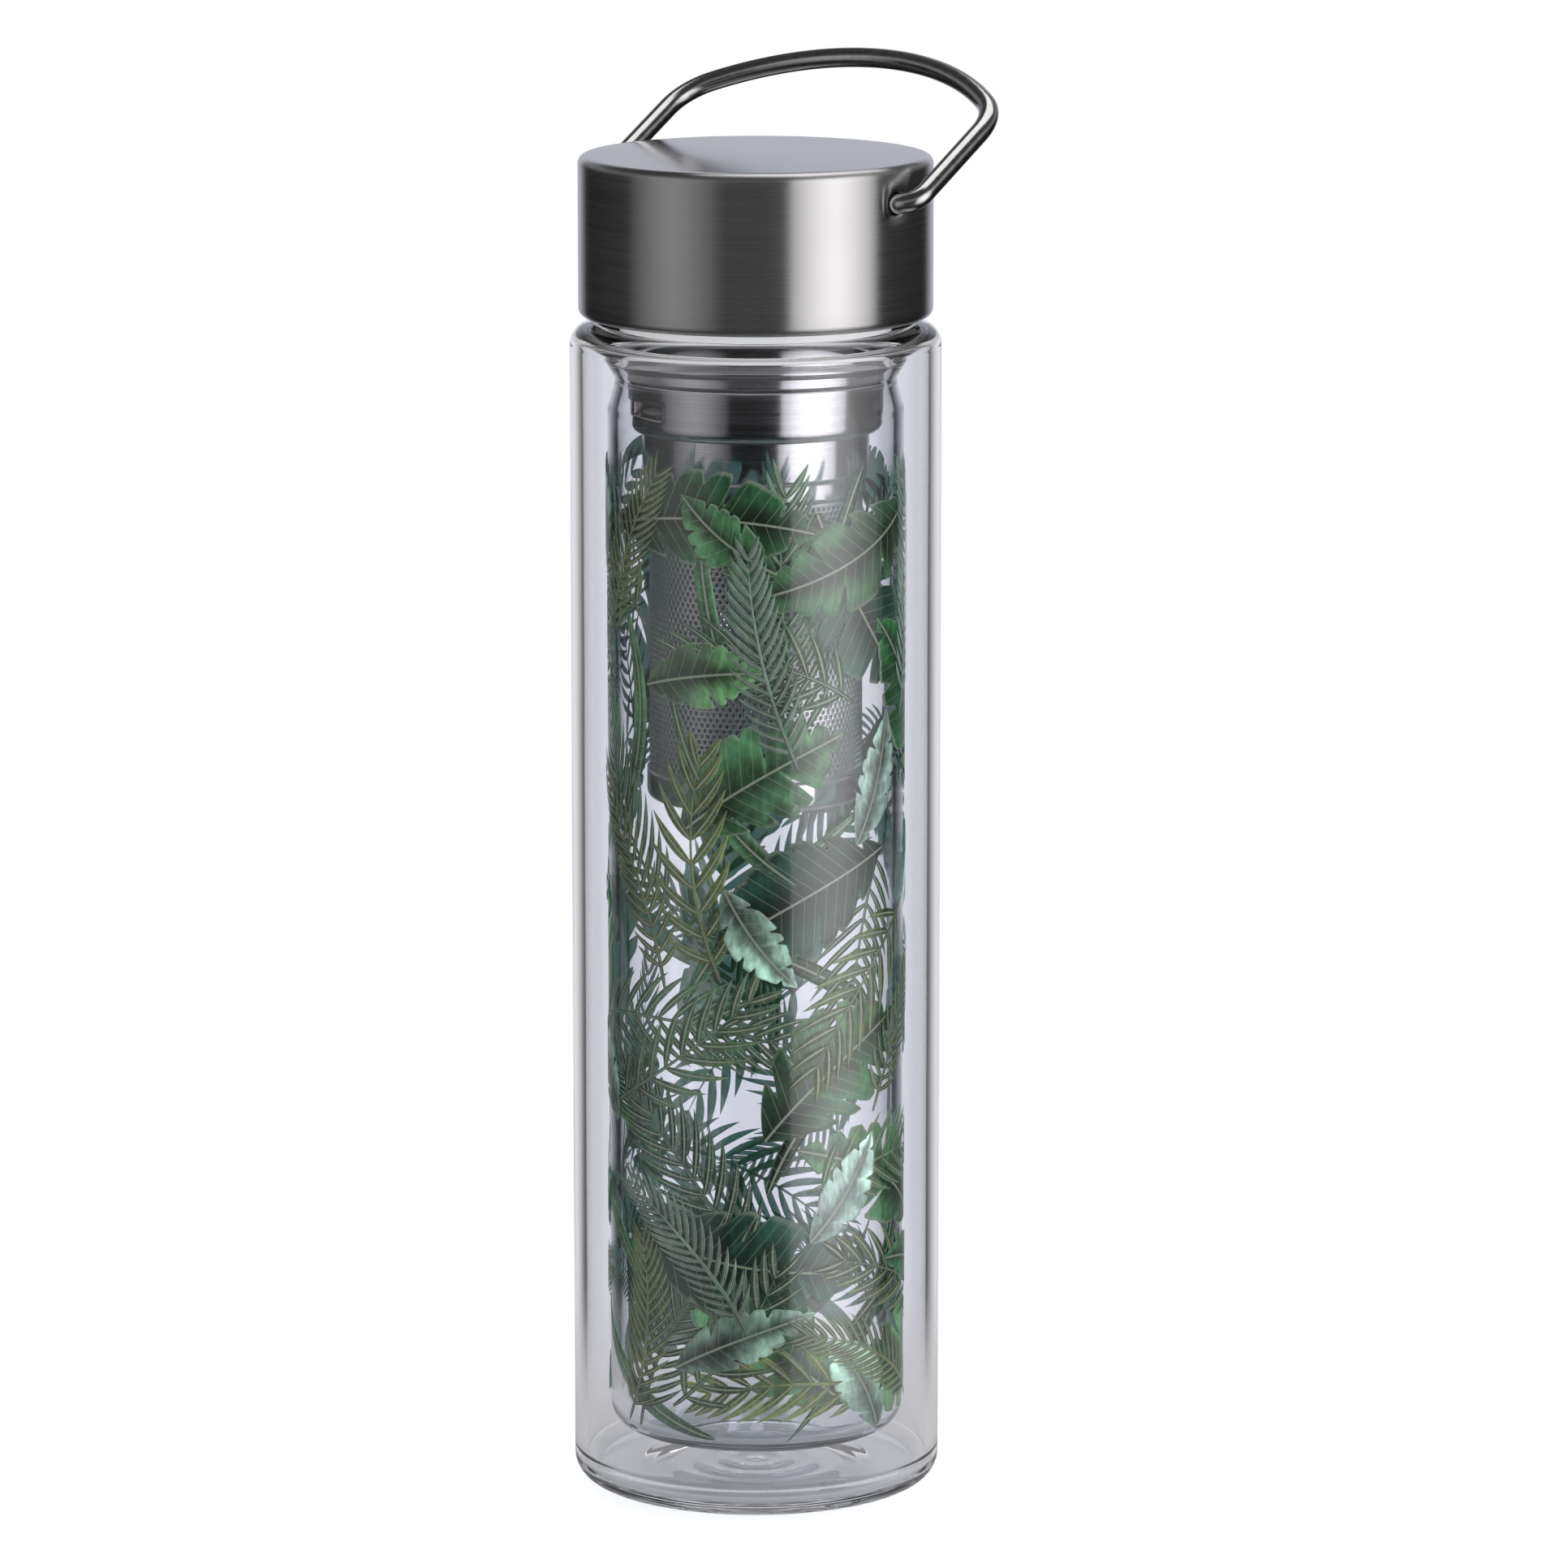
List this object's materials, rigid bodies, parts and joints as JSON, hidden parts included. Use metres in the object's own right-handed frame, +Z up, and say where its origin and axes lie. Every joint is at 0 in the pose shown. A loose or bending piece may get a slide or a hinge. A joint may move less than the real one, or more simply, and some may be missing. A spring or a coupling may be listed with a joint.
{
  "type": "tea infuser bottle",
  "caption": "Slim double-walled glass tea bottle with a lift-out steel strainer in its neck and a brushed steel screw cap that carries a swinging wire bail handle.",
  "frame": {"origin": "centre of the flat base, on the bottle's axis", "axes": "+Z up along the bottle's axis, X along the bail's hinge, the bail leans towards +Y"},
  "size_m": [0.0724, 0.0694, 0.2528],
  "materials": {
    "glass": "clear borosilicate glass",
    "silicone": "matt translucent silicone",
    "strainer_steel": "satin turned stainless steel",
    "liner_plastic": "natural polypropylene",
    "cap_steel": "fine round-brushed stainless steel",
    "wire_steel": "polished stainless wire",
    "leaf_print": "fired ceramic ink on the inner glass"
  },
  "bodies": {
    "bottle": {"outer_jacket": "glass", "inner_vessel": "glass", "vent_seal": "glass"},
    "strainer": {"strainer_collar": "strainer_steel", "strainer_seal": "silicone"},
    "basket": {"basket_ring": "strainer_steel", "basket_tube": "strainer_steel", "basket_cup": "strainer_steel"},
    "gasket": {"cap_gasket": "silicone"},
    "cap": {"cap_shell": "cap_steel", "cap_liner": "liner_plastic"},
    "handle": {"bail_handle": "wire_steel"}
  },
  "joints": [
    {"name": "strainer_lift", "type": "slide", "parent": "bottle", "child": "strainer", "axis": [0, 0, 1], "range_m": [0, 0.105]},
    {"name": "basket_turn", "type": "hinge", "parent": "strainer", "child": "basket", "pos_m": [0, 0, 0.1938], "axis": [0, 0, 1], "range_deg": [-26, 0]},
    {"name": "cap_lift", "type": "slide", "parent": "strainer", "child": "gasket", "axis": [0, 0, 1], "range_m": [0, 0.04]},
    {"name": "cap_turn", "type": "hinge", "parent": "gasket", "child": "cap", "pos_m": [0, 0, 0.216], "axis": [0, 0, 1], "range_deg": [0, 450]},
    {"name": "handle_swing", "type": "hinge", "parent": "cap", "child": "handle", "pos_m": [0, 0, 0.2307], "axis": [1, 0, 0], "range_deg": [-60, 180]}
  ]
}
